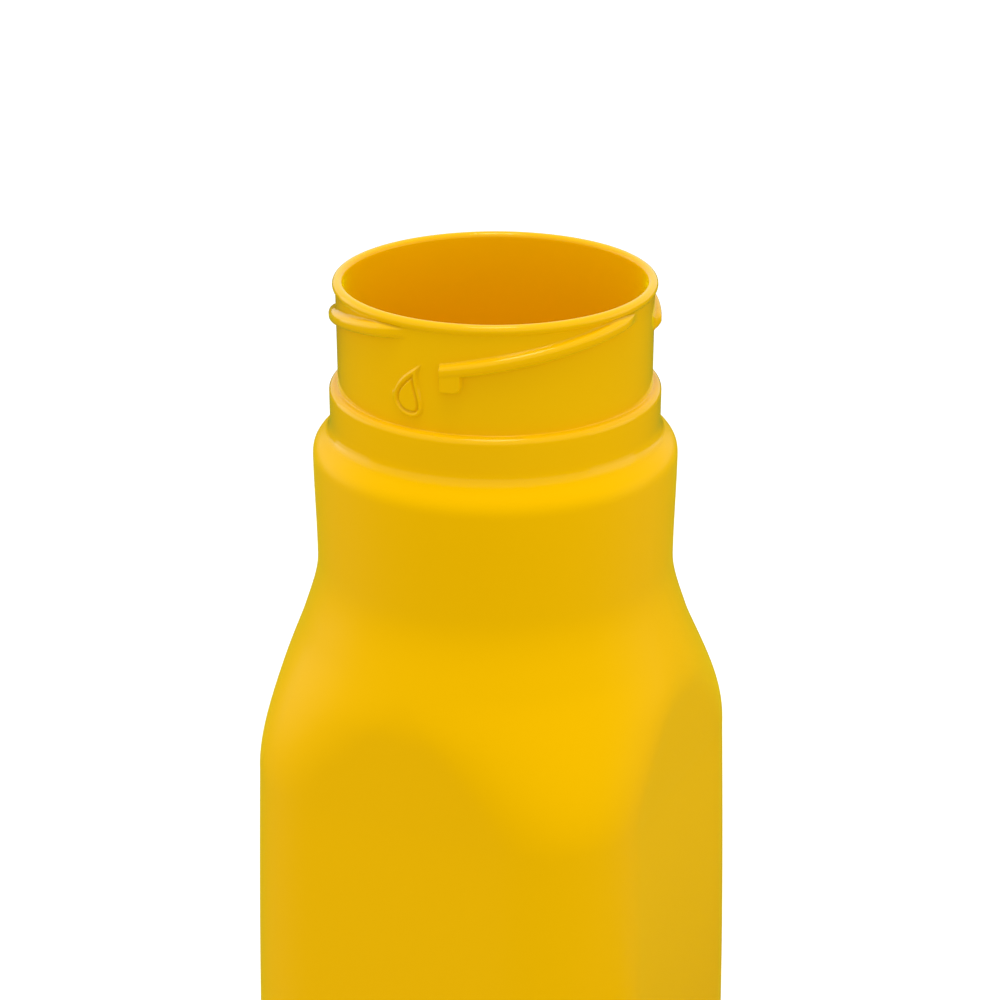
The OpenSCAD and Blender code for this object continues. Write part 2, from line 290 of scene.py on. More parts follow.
def moulded_yellow():
    """Polished on the neck and satin below the collar's foot."""
    look, sizes = settings("finishes"), settings("sizes")
    material, shader = grained("moulded_yellow", look.yellow, look.deep_yellow, 0.12, 0.05, 0.04)
    nodes, links = material.node_tree.nodes, material.node_tree.links
    place = nodes.new("ShaderNodeTexCoord")
    height = nodes.new("ShaderNodeSeparateXYZ")
    links.new(place.outputs["Object"], height.inputs["Vector"])
    collar_foot = sizes.height - sizes.step_depth

    def across_foot(below, above):
        node = nodes.new("ShaderNodeMapRange")
        node.inputs["From Min"].default_value = collar_foot - 0.5 * MM
        node.inputs["From Max"].default_value = collar_foot
        node.inputs["To Min"].default_value = below
        node.inputs["To Max"].default_value = above
        links.new(height.outputs["Z"], node.inputs["Value"])
        return node.outputs["Result"]

    total = nodes.new("ShaderNodeMath")
    links.new(shader.inputs["Roughness"].links[0].from_socket, total.inputs[0])
    links.new(across_foot(0.16, 0.0), total.inputs[1])
    links.new(total.outputs["Value"], shader.inputs["Roughness"])
    links.new(across_foot(0.0, 0.5), shader.inputs["Coat Weight"])
    set_values(
        shader, coat_roughness=0.1, coat_ior=1.4, ior=1.2, sheen_weight=0.5, sheen_roughness=0.35,
        sheen_tint=(1.0, 1.0, 0.0, 1.0), specular_tint=(0.8, 1.0, 0.02, 1.0),
    )
    return material


def matt_grey():
    """Matt dark grey plastic."""
    grey = settings("finishes").grey
    material, shader = grained("matt_grey", grey, [c * 0.8 for c in grey], 0.5, 0.12, 0.35)
    set_values(shader, ior=PLASTIC_IOR)
    return material


def soft_grey():
    """Soft dark grey elastomer."""
    grey = settings("finishes").grey
    material, shader = grained(
        "soft_grey", [c * 1.15 for c in grey], grey, 0.62, 0.12, 0.5, (1400.0, 30.0, 90.0)
    )
    set_values(shader, sheen_weight=0.25)
    return material


def smooth_white():
    """Smooth white plastic."""
    white = settings("finishes").white
    material, shader = grained("smooth_white", white, [c * 0.97 for c in white], 0.26, 0.1, 0.1)
    set_values(shader, ior=PLASTIC_IOR)
    return material


def black_rubber():
    """Smooth black rubber."""
    return grained("black_rubber", (0.02, 0.02, 0.021), (0.014, 0.014, 0.015), 0.38, 0.1, 0.2)[0]


def milky_silicone():
    """Milky silicone that lets a little light through."""
    milk = settings("finishes").milk
    material, shader = grained("milky_silicone", milk, [c * 0.95 for c in milk], 0.4, 0.08, 0.1)
    set_values(
        shader, subsurface_weight=0.3, subsurface_radius=(1.0, 0.95, 0.9), subsurface_scale=1.5 * MM
    )
    return material


def clear_cover():
    """Clear plastic with a light tint."""
    smoke = settings("finishes").smoke
    material, shader = grained("clear_cover", smoke, [c * 0.98 for c in smoke], 0.06, 0.1, 0.03)
    set_values(shader, transmission_weight=1.0, alpha=0.6, ior=PLASTIC_IOR)
    return material


def drawn_steel():
    """Drawn stainless wire."""
    steel = settings("finishes").steel
    material, shader = grained(
        "drawn_steel", steel, [c * 0.9 for c in steel], 0.24, 0.15, 0.3, (2500.0, 80.0, 200.0)
    )
    set_values(shader, metallic=1.0)
    return material


MAKERS = {
    "bottle_plastic": moulded_yellow,
    "grey_plastic": matt_grey,
    "grey_rubber": soft_grey,
    "clear_silicone": milky_silicone,
    "white_plastic": smooth_white,
    "black_rubber": black_rubber,
    "clear_plastic": clear_cover,
    "pin_steel": drawn_steel,
}
_made = {}


def finish_of(slot):
    """The material of a slot, made when it is first wanted."""
    if slot not in _made:
        _made[slot] = MAKERS[slot]()
    return _made[slot]


# ---------------------------------------------------------------- mesh helpers, in millimetres


def place_piece(name, points, faces, slot, body, *nodes):
    """Makes one smooth piece that stands for CAD nodes and rides on a body."""
    mesh = bpy.data.meshes.new(name)
    mesh.from_pydata([tuple(p * MM for p in point) for point in points], [], faces)
    mesh.validate()
    work = bmesh.new()
    work.from_mesh(mesh)
    bmesh.ops.recalc_face_normals(work, faces=work.faces)
    work.to_mesh(mesh)
    work.free()
    mesh.polygons.foreach_set("use_smooth", [True] * len(mesh.polygons))
    piece = bpy.data.objects.new(name, mesh)
    bpy.context.collection.objects.link(piece)
    mesh.materials.append(finish_of(slot))
    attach(piece, body)
    if nodes:
        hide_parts(*nodes)
    return piece


def even_normals(piece):
    """Keeps broad faces flat beside their small roundings."""
    modifier = piece.modifiers.new("even_normals", "WEIGHTED_NORMAL")
    modifier.keep_sharp = True


def skin(rows, closed=False):
    """Points and faces of a stack of rings. Unless it is closed on itself, a point ends it at each end."""
    rows = np.asarray(rows, float)
    count, around, _ = rows.shape
    points = rows.reshape(-1, 3)
    faces = []
    steps = count if closed else count - 1
    for j in range(steps):
        a, b = j * around, ((j + 1) % count) * around
        faces += [(a + i, a + (i + 1) % around, b + (i + 1) % around, b + i) for i in range(around)]
    if not closed:
        first, last = rows[0].mean(0), rows[-1].mean(0)
        points = np.vstack([points, first, last])
        n, end = count * around, (count - 1) * around
        faces += [(n, (i + 1) % around, i) for i in range(around)]
        faces += [(n + 1, end + i, end + (i + 1) % around) for i in range(around)]
    return points, faces


ARC_STEPS = 6


def rounded(corners):
    """An outline with its corners rounded: each corner is (r, z) or (r, z, radius)."""
    out = []
    count = len(corners)
    for i, corner in enumerate(corners):
        p = np.array(corner[:2], float)
        radius = corner[2] if len(corner) > 2 else 0.0
        before = np.array(corners[i - 1][:2], float) - p
        after = np.array(corners[(i + 1) % count][:2], float) - p
        la, lb = np.linalg.norm(before), np.linalg.norm(after)
        if radius <= 0 or la == 0 or lb == 0:
            out.append(p)
            continue
        before, after = before / la, after / lb
        half = math.acos(np.clip(before @ after, -1, 1)) / 2
        reach = min(radius / math.tan(half), 0.49 * la, 0.49 * lb)
        radius = reach * math.tan(half)
        centre = p + (before + after) / np.linalg.norm(before + after) * radius / math.sin(half)
        a0 = math.atan2(*(p + before * reach - centre)[::-1])
        a1 = math.atan2(*(p + after * reach - centre)[::-1])
        swing = (a1 - a0 + math.pi) % (2 * math.pi) - math.pi
        for k in range(ARC_STEPS + 1):
            a = a0 + swing * k / ARC_STEPS
            out.append(centre + radius * np.array([math.cos(a), math.sin(a)]))
    return out


def round_turn(around):
    """Evenly spaced directions round a full turn."""
    return np.linspace(0, 2 * math.pi, around, endpoint=False)


def level_ring(turn, reach, z, centre=(0.0, 0.0)):
    """A level ring of points, at one reach or at one for each direction."""
    return np.c_[centre[0] + reach * np.cos(turn), centre[1] + reach * np.sin(turn), np.full(len(turn), z)]


def lathe(corners, around, centre):
    """A closed outline, drawn anticlockwise, turned round an upright axis."""
    turn = round_turn(around)
    return skin([level_ring(turn, r, z, centre) for r, z in rounded(corners)], closed=True)


def solid_lathe(corners, around, centre):
    """An open outline that starts and ends on the axis, turned round it."""
    turn = round_turn(around)
    return skin([level_ring(turn, r, z, centre) for r, z in rounded(corners) if r > 1e-6])


def joined(*parts):
    """Several closed skins as one set of points and faces."""
    points, faces = [], []
    for part_points, part_faces in parts:
        start = len(points)
        points += [tuple(p) for p in part_points]
        faces += [tuple(start + i for i in face) for face in part_faces]
    return points, faces


def ease(t):
    """Nought below 0, one above 1 and a smooth rise between."""
    u = np.clip(t, 0, 1)
    return u * u * (3 - 2 * u)


def soft_step(distance, width):
    """One inside an outline, nought outside, where distance is negative inside."""
    return ease(0.5 - distance / width)


# ---------------------------------------------------------------- bottle
# Depths are below the rim. FLARE is where the waist ends, and FACE and CORNER where the flats and the
# upright edges reach their shoulder. BEAD is the rounded step below the collar.

FLARE_DEPTH = 45.5
FACE_DEPTH = 65.0
CORNER_DEPTH = 81.0
SWELL_REACH = 80.0
FOOT_RING = 6.0
FLOOR = 1.8
INNER_DROP = 6.0
BEAD_END = 4.6
BEAD_RISE = 2.0
BEAD_SHARP = 2.2
COLLAR_ROUND = 0.95
RELIEF_STEP = 0.15

# Along a ridge, in degrees from its low end: where a ridge without a lug starts, and how ridges fade.
PLAIN_START = 9.0
PLAIN_RUN_IN = 5.0
LUG_RUN_IN = 0.6
RUN_OUT = 11.0

LUG_ABOVE = 0.9
LUG_BELOW = 3.0
LUG_SINK = 0.12
LUG_CORNER = 1.2
LUG_EDGE = 0.15

# The mark's middle is this many degrees from the lug's outer edge.
MARK_OFFSET = -11.2
MARK_DEPTH = 12.1
MARK_LEAN = 1.5


class Body:
    """The bottle's shape below the neck, as half width and edge radius at each depth below the rim."""

    def __init__(self):
        names = ("waist_r", "shoulder_w", "edge_r", "swell", "height")
        self.waist, self.width, self.edge, self.swell, self.height = in_mm("sizes", *names)
        self.corner = (self.width - self.edge) * math.sqrt(2) + self.edge

    def half_and_edge(self, depth):
        """Half width across the flats and radius of the upright edges."""
        swell = self.swell * math.sin(math.pi / 2 * min(max((depth - CORNER_DEPTH) / SWELL_REACH, 0), 1))
        face = ease((depth - FLARE_DEPTH) / (FACE_DEPTH - FLARE_DEPTH))
        tip = ease((depth - FLARE_DEPTH) / (CORNER_DEPTH - FLARE_DEPTH))
        half = self.waist + (self.width - self.waist) * face + swell
        corner = self.waist + (self.corner - self.waist) * tip + 1.2 * swell
        return half, (math.sqrt(2) * half - corner) / (math.sqrt(2) - 1)

    def ring(self, turn, depth, inset, z, scale=1.0):
        """A ring with the shape of one depth, drawn in by inset and scaled, at height z."""
        half, edge = self.half_and_edge(depth)
        w = half - inset
        r = min(max(edge - inset, 1.5), w)
        q = np.abs((turn + math.pi / 4) % (math.pi / 2) - math.pi / 4)
        e = w - r
        arc = e * (np.cos(q) + np.sin(q)) + np.sqrt(np.maximum(r * r - e * e * (1 - np.sin(2 * q)), 0))
        d = scale * np.where(np.tan(q) * w <= e, w / np.cos(q), arc)
        return level_ring(turn, d, z)


def neck_columns():
    """Directions round the bottle, closer together where the mark and the lugs are."""
    thread = settings("thread")
    lug = math.degrees(thread.lug_angle)
    fine = [(lug - 18, lug + 9, 0.3), (lug + 179, lug + 189, 0.4)]
    turn = []
    a = lug - 18
    while a < lug + 342 - 1e-6:
        turn.append(a)
        a += next((step for low, high, step in fine if low <= a < high), 1.5)
    return np.radians(turn)


def drop_outline(width, height, lean):
    """The mark's outline with its tip up, which leans to one side."""
    a = np.radians(np.arange(0, 360, 5))
    u = (1 + np.cos(a)) / 2
    x = width * 0.62 * np.sin(a) * np.sin(a / 2) ** 1.6
    y = height * (u - 0.35)
    return np.c_[x + lean * (1.3 * u**4 - 0.45 * np.sin(math.pi * u)), y]


def distance_to(outline, x, y):
    """Distance from points to a closed outline, negative inside it."""
    best = np.full(x.shape, 1e9)
    inside = np.zeros(x.shape, bool)
    for (x0, y0), (x1, y1) in zip(outline, np.roll(outline, -1, axis=0)):
        dx, dy = x1 - x0, y1 - y0
        t = np.clip(((x - x0) * dx + (y - y0) * dy) / max(dx * dx + dy * dy, 1e-9), 0, 1)
        best = np.minimum(best, np.hypot(x - x0 - t * dx, y - y0 - t * dy))
        crossing = (y0 > y) != (y1 > y)
        inside ^= crossing & (x < x0 + (y - y0) * dx / (dy if dy else 1e-9))
    return np.where(inside, -best, best)


def mark_relief(x, y, width, height):
    """Raised drop: a rounded outline, a thin groove inside it and a raised middle."""
    distance = distance_to(drop_outline(width, height, MARK_LEAN), x, y)
    rim = 0.42 * soft_step(np.abs(distance + 0.38) - 0.3, 0.26)
    middle = 0.36 * soft_step(distance + 0.98, 0.26)
    return np.maximum(rim, middle)


def ridge_relief(a, depth, rise, lugged):
    """One ridge, at directions in degrees from its low end. A ridge without a lug starts later."""
    low, high, width = in_mm("thread", "low", "high", "width")
    span = math.degrees(settings("thread").turn)
    t = a / span
    middle = low - (low - high) * (1.2 * t - 0.2 * t * t)
    u = np.abs(depth - middle) / (width / 2)
    profile = np.clip(1 - u**3.2, 0, 1) ** 0.7
    start, run_in = (0.0, LUG_RUN_IN) if lugged else (PLAIN_START, PLAIN_RUN_IN)
    fade = ease((a - start + 0.3) / run_in) * ease((span - a) / RUN_OUT)
    return rise * profile * fade


def lug_relief(arc, depth, rise, wide):
    """The stop lug at a ridge's low end. Its lower corner under the ridge is well rounded."""
    low, = in_mm("thread", "low")
    top, bottom = low - LUG_ABOVE, low + LUG_BELOW
    x = np.abs(arc - wide / 2) - wide / 2
    y = np.abs(depth - (top + bottom) / 2) - (bottom - top) / 2
    rounding = np.where((arc > wide / 2) & (depth > (top + bottom) / 2), LUG_CORNER, LUG_EDGE)
    x, y = x + rounding, y + rounding
    edge = np.hypot(np.maximum(x, 0), np.maximum(y, 0)) + np.minimum(np.maximum(x, y), 0) - rounding
    return (rise - LUG_SINK) * soft_step(edge, 0.35)


def thread_relief(turn, depths):
    """How far the ridges, the stop lugs and the mark stand out from the neck wall."""
    thread = settings("thread")
    neck_r, = in_mm("sizes", "neck_r")
    crest, mark_w, mark_h = in_mm("thread", "crest_r", "mark_w", "mark_h")
    rise = crest - neck_r
    relief = np.zeros((len(depths), len(turn)))
    depth = np.asarray(depths)[:, None]
    lug = math.degrees(thread.lug_angle)
    for k in range(thread.starts):
        lugged = k % 2 == 0
        base = lug + 360 * k / thread.starts
        a = ((np.degrees(turn) - base + 90) % 360 - 90)[None, :]
        relief = np.maximum(relief, ridge_relief(a, depth, rise, lugged))
        if lugged:
            wide = neck_r * thread.lug_span
            relief = np.maximum(relief, lug_relief(neck_r * np.radians(a), depth, rise, wide))
    a = (np.degrees(turn) - lug - MARK_OFFSET + 180) % 360 - 180
    near = np.abs(a) < 10
    x = np.broadcast_to((neck_r * np.radians(a[near]))[None, :], (len(depths), near.sum()))
    y = np.broadcast_to(MARK_DEPTH - depth, x.shape)
    relief[:, near] = np.maximum(relief[:, near], mark_relief(x, y, mark_w, mark_h))
    return relief


def arc_points(centre, radius, start, stop, count):
    """Points of an arc as (r, depth), with angles in degrees above level."""
    a = np.radians(np.linspace(start, stop, count))
    return list(np.c_[centre[0] + radius * np.cos(a), centre[1] - radius * np.sin(a)])


def bottle_rows(turn):
    """All rings of the bottle, from under the base, up the outside, over the lip and down the inside."""
    body = Body()
    neck_r, mouth_r, lip_r = in_mm("sizes", "neck_r", "mouth_r", "lip_r")
    collar_r, collar_d, step_d = in_mm("sizes", "collar_r", "collar_depth", "step_depth")
    wall, foot_r, push_up = in_mm("sizes", "wall", "foot_r", "push_up")
    top, waist = body.height, body.waist
    base_depth = top - foot_r
    flat = foot_r + FOOT_RING
    rows = []

    def dish(height, scales):
        for k in scales:
            rise = push_up * math.sin(math.pi / 2 * (1 - k))
            rows.append(body.ring(turn, base_depth, flat, height + rise, k))

    def rings(depths, inset):
        rows.extend(body.ring(turn, d, inset, top - d) for d in depths)

    def neck(points):
        rows.extend(level_ring(turn, r, top - d) for r, d in points)

    # base and foot
    dish(0.0, (0.1, 0.3, 0.5, 0.7, 0.85, 0.95))
    for inset in np.linspace(flat, foot_r, 4):
        rows.append(body.ring(turn, base_depth, inset, 0.0))
    for a in np.radians(np.arange(9, 90, 9)):
        rows.append(body.ring(turn, base_depth, foot_r * (1 - math.sin(a)), foot_r * (1 - math.cos(a))))
    # sides, shoulder and waist
    low_depths = np.linspace(base_depth, CORNER_DEPTH, 18)
    shoulder = np.linspace(CORNER_DEPTH, FLARE_DEPTH, 32)[1:]
    rings(low_depths, 0.0)
    rings(shoulder, 0.0)
    bead_r = waist + 0.25
    bead_end = step_d + BEAD_END
    seam = FLARE_DEPTH - 1
    blend = np.linspace(1, 0, 10)
    neck((waist + (bead_r - waist) * (1 - ease(b)), bead_end + (seam - bead_end) * b) for b in blend)
    # rounded step, collar and thread
    bead_top = step_d - BEAD_RISE
    sweep = np.linspace(0.985, 0.015, 34)
    swing = sweep**BEAD_SHARP / (sweep**BEAD_SHARP + (1 - sweep) ** BEAD_SHARP)
    neck(zip(collar_r + (bead_r - collar_r) * swing, bead_top + (bead_end - bead_top) * sweep))
    neck((collar_r, d) for d in np.linspace(bead_top - 0.1, collar_d + COLLAR_ROUND + 0.3, 6))
    neck(arc_points((collar_r - COLLAR_ROUND, collar_d + COLLAR_ROUND), COLLAR_ROUND, 0, 90, 9))
    neck(arc_points((neck_r + 0.2, collar_d - 0.2), 0.2, 265, 185, 4))
    depths = np.arange(collar_d - 0.35, 1.75, -RELIEF_STEP)
    neck(zip(neck_r + thread_relief(turn, depths), depths))
    # lip and inside
    lip_t = (lip_r - mouth_r) / 2
    neck(arc_points((lip_r - lip_t, lip_t), lip_t, -58, 180, 22))
    inner = waist - wall
    hang = step_d - 0.5
    neck((mouth_r, d) for d in np.linspace(lip_t + 0.6, hang, 8))
    curve = np.radians(np.linspace(8, 90, 10))
    neck((mouth_r + (inner - mouth_r) * math.sin(a), hang + INNER_DROP * (1 - math.cos(a))) for a in curve)
    neck((inner, d) for d in np.linspace(hang + INNER_DROP + 2, seam, 4))
    rings(shoulder[::-1][::2], wall)
    rings(low_depths[::-1], wall)
    deep = foot_r - wall
    for a in np.radians(np.arange(80, 0, -10)):
        inset = wall + deep * (1 - math.sin(a))
        rows.append(body.ring(turn, base_depth, inset, foot_r - deep * math.cos(a)))
    dish(FLOOR, (0.95, 0.85, 0.7, 0.5, 0.3, 0.1))
    return rows


class BOTTLE_OT_shell(bpy.types.Operator):
    """Make the moulded bottle"""

    bl_idname = "bottle.shell"
    bl_label = "Bottle"

    def execute(self, context):
        points, faces = skin(bottle_rows(neck_columns()))
        place_piece("bottle", points, faces, "bottle_plastic", "bottle", "bottle_shell")
        return {"FINISHED"}


# ---------------------------------------------------------------- lid
# Heights ending in _H or _UP are above the deck, and distances ending in _OUT are from the lid's axis.

HINGE_OUT = 24.0
HINGE_UP = 2.6
PIN_R = 1.2
PIN_L = 14.0
EAR_R = 2.5
EAR_GAP = 0.3
ARM_W = 6.0
SKIRT_T = 1.9
SEAT_R = 10.5
TOWER_R = 9.0
TOWER_H = 12.0
GROOVE_DOWN = 4.0
O_RING_R = 0.8
BORE_R = 6.2
PLUG_R = 2.5
PLUG_H = 18.5
GASKET_R = 22.6
GASKET_T = 1.5
VALVE_R = 3.6
VALVE_OUT = 17.0
STEM_R = 1.1
NOZZLE_GAP = 1.8
NOZZLE_H = 16.0
NOZZLE_R = 11.0
TIP_H = 5.2
COVER_R = 16.0
COVER_H = 28.0
COVER_T = 1.2
BAND_LOW_Z = 2.6
DECK_MARK_W = 4.7
DECK_MARK_Y = -20.3


def axis():
    """Where the lid's axis stands."""
    return (in_mm("lid", "axis_x")[0], 0.0)


def rect_ring(low, high, corner, inset, z, around=24):
    """A rounded rectangle at one height, drawn in by inset."""
    cx, cy = (low[0] + high[0]) / 2, (low[1] + high[1]) / 2
    hx, hy = (high[0] - low[0]) / 2 - inset, (high[1] - low[1]) / 2 - inset
    r = max(corner - inset, 0.02)
    turn = round_turn(around) + math.pi / around
    c, s = np.cos(turn), np.sin(turn)
    x = cx + np.sign(c) * (hx - r) + r * c
    y = cy + np.sign(s) * (hy - r) + r * s
    return np.c_[x, y, np.full(around, z)]


def block(low, high, corner, bevel):
    """An upright plate with rounded corners and bevelled edges."""
    part = bevel * 0.3
    steps = [(low[2], bevel), (low[2] + part, part), (low[2] + bevel, 0.0)]
    steps += [(high[2] - bevel, 0.0), (high[2] - part, part), (high[2], bevel)]
    return skin([rect_ring(low, high, corner, inset, z) for z, inset in steps])


def cross_ring(turn, reach, y, centre):
    """A ring across the Y axis, round a centre in X and Z."""
    return np.c_[centre[0] + reach * np.cos(turn), np.full(len(turn), y), centre[1] + reach * np.sin(turn)]


def knuckle(centre, low, high, radius, hole, foot=0.0):
    """A hinge barrel along Y with its bore. With a foot it is square below, down to that depth."""
    turn = round_turn(48)
    c, s = np.cos(turn), np.sin(turn)
    reach = np.full(len(turn), float(radius))
    if foot:
        square = np.minimum(radius / np.maximum(np.abs(c), 1e-6), foot / np.maximum(-s, 1e-6))
        reach = np.where(s < 0, square, reach)
    bevel = 0.25
    outline = [(reach - bevel, low), (reach, low + bevel), (reach, high - bevel), (reach - bevel, high)]
    outline += [(hole, high), (hole, low)]
    return skin([cross_ring(turn, d, y, centre) for d, y in outline], closed=True)


def turned(part, degrees, centre):
    """The same part turned about an upright axis."""
    points, faces = np.asarray(part[0], float).copy(), part[1]
    a = math.radians(degrees)
    x, y = points[:, 0] - centre[0], points[:, 1] - centre[1]
    points[:, 0] = centre[0] + x * math.cos(a) - y * math.sin(a)
    points[:, 1] = centre[1] + x * math.sin(a) + y * math.cos(a)
    return points, faces


def inner_ridge(start, turn, low, high, root, crest, width, centre):
    """A thread ridge on the inside of the skirt."""
    rows = []
    steps = 40
    for i in range(steps + 1):
        t = i / steps
        a = math.radians(start + turn * t)
        z = low + (high - low) * (1.2 * t - 0.2 * t * t)
        top = root + (crest - root) * min(1, 0.5 + 8 * t, 0.5 + 6 * (1 - t))
        u = np.linspace(-1, 1, 9)
        r = root + (top - root) * np.sqrt(np.clip(1 - np.abs(u) ** 3, 0, 1))
        r = np.append(r, root + 0.1)
        z = np.append(z + u * width / 2 * 1.1, z)
        rows.append(np.c_[centre[0] + r * math.cos(a), centre[1] + r * math.sin(a), z])
    return skin(rows)


def deck_drop(centre, low, high):
    """The raised drop on the deck: a rim and a raised middle, tip outwards."""
    height, = in_mm("thread", "mark_h")
    edge = high - 0.12

    def ring(across, along, lean, z, shift=0.08):
        outline = -(drop_outline(DECK_MARK_W * across, height * along, lean) + [0.0, shift])
        return np.c_[centre + outline, np.full(len(outline), z)]

    rim = [ring(1, 1, MARK_LEAN, low, 0.0), ring(1, 1, MARK_LEAN, edge, 0.0)]
    rim += [ring(0.96, 0.97, 1.44, high, 0.0), ring(0.84, 0.85, 1.24, high)]
    rim += [ring(0.8, 0.82, 1.2, edge), ring(0.8, 0.82, 1.2, low)]
    middle = [ring(0.68, 0.7, 1.0, low), ring(0.68, 0.7, 1.0, edge), ring(0.62, 0.65, 0.9, high)]
    return joined(skin(rim, closed=True), skin(middle))


def levels():
    """Skirt radius, depth and deck height of the lid."""
    skirt, depth, deck = in_mm("lid", "skirt_r", "depth", "deck")
    return skirt, depth, depth + deck


class BOTTLE_OT_cap(bpy.types.Operator):
    """Make the screw cap with its hinge ears, inner thread and mark"""

    bl_idname = "bottle.cap"
    bl_label = "Cap"

    def execute(self, context):
        skirt, depth, deck = levels()
        centre = axis()
        out = skirt + SKIRT_T
        wall = lathe([
            (skirt, 0, 0.3), (out + 0.6, 0, 0.6), (out + 0.6, 2.4, 0.6), (out, 2.4, 0.2),
            (out, depth - 4.4, 0.2), (out + 0.9, depth - 4.4, 0.5), (out + 0.9, depth - 3, 0.5),
            (out, depth - 3, 0.3), (out, deck, 2), (SEAT_R, deck, 0.2), (SEAT_R, depth, 0.2),
            (skirt, depth, 0.3),
        ], 160, centre)
        parts = [wall]
        hinge = (centre[0] + HINGE_OUT, deck + HINGE_UP)
        ear = (PIN_L - ARM_W) / 2 - EAR_GAP
        for low in (ARM_W / 2 + EAR_GAP, -ARM_W / 2 - EAR_GAP - ear):
            parts.append(knuckle(hinge, low, low + ear, EAR_R, PIN_R + 0.02, HINGE_UP + 0.4))
        starts = settings("thread").starts
        for k in range(starts):
            start = 360 * k / starts
            parts.append(inner_ridge(start, 62, depth - 12.2, depth - 7, skirt + 0.3, 25.05, 2.0, centre))
        parts.append(deck_drop(np.array([centre[0], DECK_MARK_Y]), deck - 0.2, deck + 0.5))
        even_normals(place_piece("cap", *joined(*parts), "bottle_plastic", "lid", "lid_cap"))
        return {"FINISHED"}


class BOTTLE_OT_band(bpy.types.Operator):
    """Make the fluted grip band"""

    bl_idname = "bottle.band"
    bl_label = "Grip band"

    def execute(self, context):
        skirt, depth, _ = levels()
        inner = skirt + SKIRT_T
        outer = inner + 1.2
        low, high = BAND_LOW_Z, depth - 4.5
        flutes = settings("lid").flutes
        turn = round_turn(flutes * 12)
        across = ((turn * flutes / (2 * math.pi) + 0.5) % 1 - 0.5) * 2 * math.pi / flutes * outer
        dip = np.sqrt(np.maximum(1.44 - across**2, 0.64)) - 0.8
        section = [
            (inner, low, 0), (outer - 0.35, low, 0), (outer - 0.1, low + 0.12, 0), (outer, low + 0.4, 0),
            (outer, low + 1.4, 0), (outer, low + 1.8, 0.7), (outer, low + 2.3, 1), (outer, high - 2.3, 1),
            (outer, high - 1.8, 0.7), (outer, high - 1.4, 0), (outer, high - 0.4, 0),
            (outer - 0.1, high - 0.12, 0), (outer - 0.35, high, 0), (inner, high, 0),
        ]
        rows = [level_ring(turn, r - share * dip, z, axis()) for r, z, share in section]
        band = skin(rows, closed=True)
        even_normals(place_piece("grip_band", *band, "grey_rubber", "lid", "grip_band"))
        return {"FINISHED"}


class BOTTLE_OT_spout(bpy.types.Operator):
    """Make the spout tower with its plug and O-ring"""

    bl_idname = "bottle.spout"
    bl_label = "Spout"

    def execute(self, context):
        _, depth, deck = levels()
        centre = axis()
        top = deck + TOWER_H
        groove = top - GROOVE_DOWN
        tower = lathe([
            (BORE_R, depth - 1.5, 0.2), (SEAT_R + 0.5, depth - 1.5, 0.4), (SEAT_R + 0.5, depth - 0.05, 0.2),
            (SEAT_R - 0.05, depth - 0.05), (SEAT_R - 0.05, deck), (12.4, deck, 0.1), (12.4, deck + 1.4, 0.5),
            (TOWER_R, deck + 1.4, 0.25), (TOWER_R, groove - 0.85, 0.1), (TOWER_R - 1.45, groove - 0.85),
            (TOWER_R - 1.45, groove + 0.85), (TOWER_R, groove + 0.85, 0.1), (TOWER_R, top, 0.6),
            (BORE_R, top, 0.4),
        ], 96, centre)
        plug_top = deck + PLUG_H
        plug = solid_lathe([
            (0, top - 5), (PLUG_R, top - 5, 0.3), (PLUG_R, plug_top, 0.5), (1.1, plug_top, 0.15),
            (1.1, plug_top - 1, 0.1), (0, plug_top - 1),
        ], 48, centre)
        x = centre[0]
        rib = block((x + PLUG_R - 0.4, -0.7, top - 5), (x + BORE_R + 0.4, 0.7, top - 2), 0.2, 0.15)
        ribs = [turned(rib, 120 * k, centre) for k in range(3)]
        spout = joined(tower, plug, *ribs)
        even_normals(place_piece("spout", *spout, "grey_plastic", "lid", "spout_insert"))
        a = np.radians(np.arange(0, 360, 15))
        section = np.c_[TOWER_R - 0.62 + O_RING_R * np.cos(a), groove + O_RING_R * np.sin(a)]
        ring = lathe(section.tolist(), 96, centre)
        place_piece("o_ring", *ring, "black_rubber", "lid", "nozzle_seal")
        return {"FINISHED"}


class BOTTLE_OT_seals(bpy.types.Operator):
    """Make the rim gasket and the vent valve"""

    bl_idname = "bottle.seals"
    bl_label = "Seals"

    def execute(self, context):
        skirt, depth, deck = levels()
        centre = axis()
        out, low = skirt - 0.05, depth - GASKET_T
        gasket = lathe([
            (GASKET_R, low, 0.4), (out, low, 0.4), (out, depth, 0.1), (GASKET_R, depth, 0.3),
        ], 160, centre)
        even_normals(place_piece("rim_gasket", *gasket, "clear_silicone", "lid", "rim_gasket"))
        valve = solid_lathe([
            (0, depth - 1.2), (VALVE_R, depth - 1.2, 0.7), (VALVE_R, depth, 0.05), (STEM_R, depth, 0.05),
            (STEM_R, deck - 0.2, 0.25), (0, deck - 0.2),
        ], 48, (centre[0] - VALVE_OUT, 0))
        even_normals(place_piece("vent_valve", *valve, "clear_silicone", "lid", "vent_valve"))
        return {"FINISHED"}


